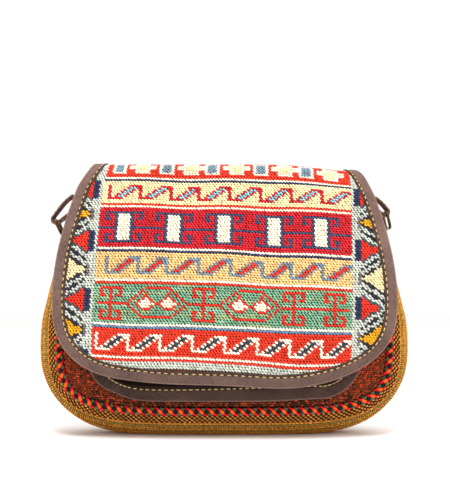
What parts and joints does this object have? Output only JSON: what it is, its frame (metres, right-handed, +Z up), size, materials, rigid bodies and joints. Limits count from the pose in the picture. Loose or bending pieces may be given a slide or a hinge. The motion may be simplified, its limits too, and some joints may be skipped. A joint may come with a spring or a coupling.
{
  "type": "flap-over shoulder bag",
  "caption": "Small woven shoulder bag with a canvas-bound patterned flap, deep ribbed gusset, braided piping, patch pocket and hinged strap rings.",
  "frame": {"origin": "under the middle of the bag's box, on the surface it stands on", "axes": "+Z up, +X to the right seen from the front, the flap's face towards -Y"},
  "size_m": [0.2524, 0.0918, 0.1856],
  "materials": {
    "soumak": "wrapped weft weave in bands of red, cream, green and blue",
    "canvas": "brown cotton canvas tape, gold topstitch",
    "rust_wool": "mottled rust wool",
    "ribbed_wool": "amber and olive ribbed weave",
    "braid": "red and black braided cord",
    "lining": "dark plum cotton",
    "brass": "antique brass"
  },
  "bodies": {
    "bag": {"front_panel": "rust_wool", "back_panel": "rust_wool", "gusset": "ribbed_wool", "front_piping": "braid", "rear_piping": "braid", "mouth_binding": "canvas", "flap_cloth": "soumak", "flap_lining": "lining", "flap_binding": "canvas", "pocket_panel": "lining", "pocket_binding": "canvas", "snap_socket": "brass", "snap_stud": "brass", "left_tab": "canvas", "right_tab": "canvas"},
    "left_ring": {"left_ring": "brass"},
    "right_ring": {"right_ring": "brass"}
  },
  "joints": [
    {"name": "left_ring_swing", "type": "hinge", "parent": "bag", "child": "left_ring", "pos_m": [-0.11766, 0.02196, 0.1466], "axis": [0, 1, 0], "range_deg": [-1, 212]},
    {"name": "right_ring_swing", "type": "hinge", "parent": "bag", "child": "right_ring", "pos_m": [0.11307, 0.02357, 0.1522], "axis": [0, -1, 0], "range_deg": [-17, 176]}
  ]
}
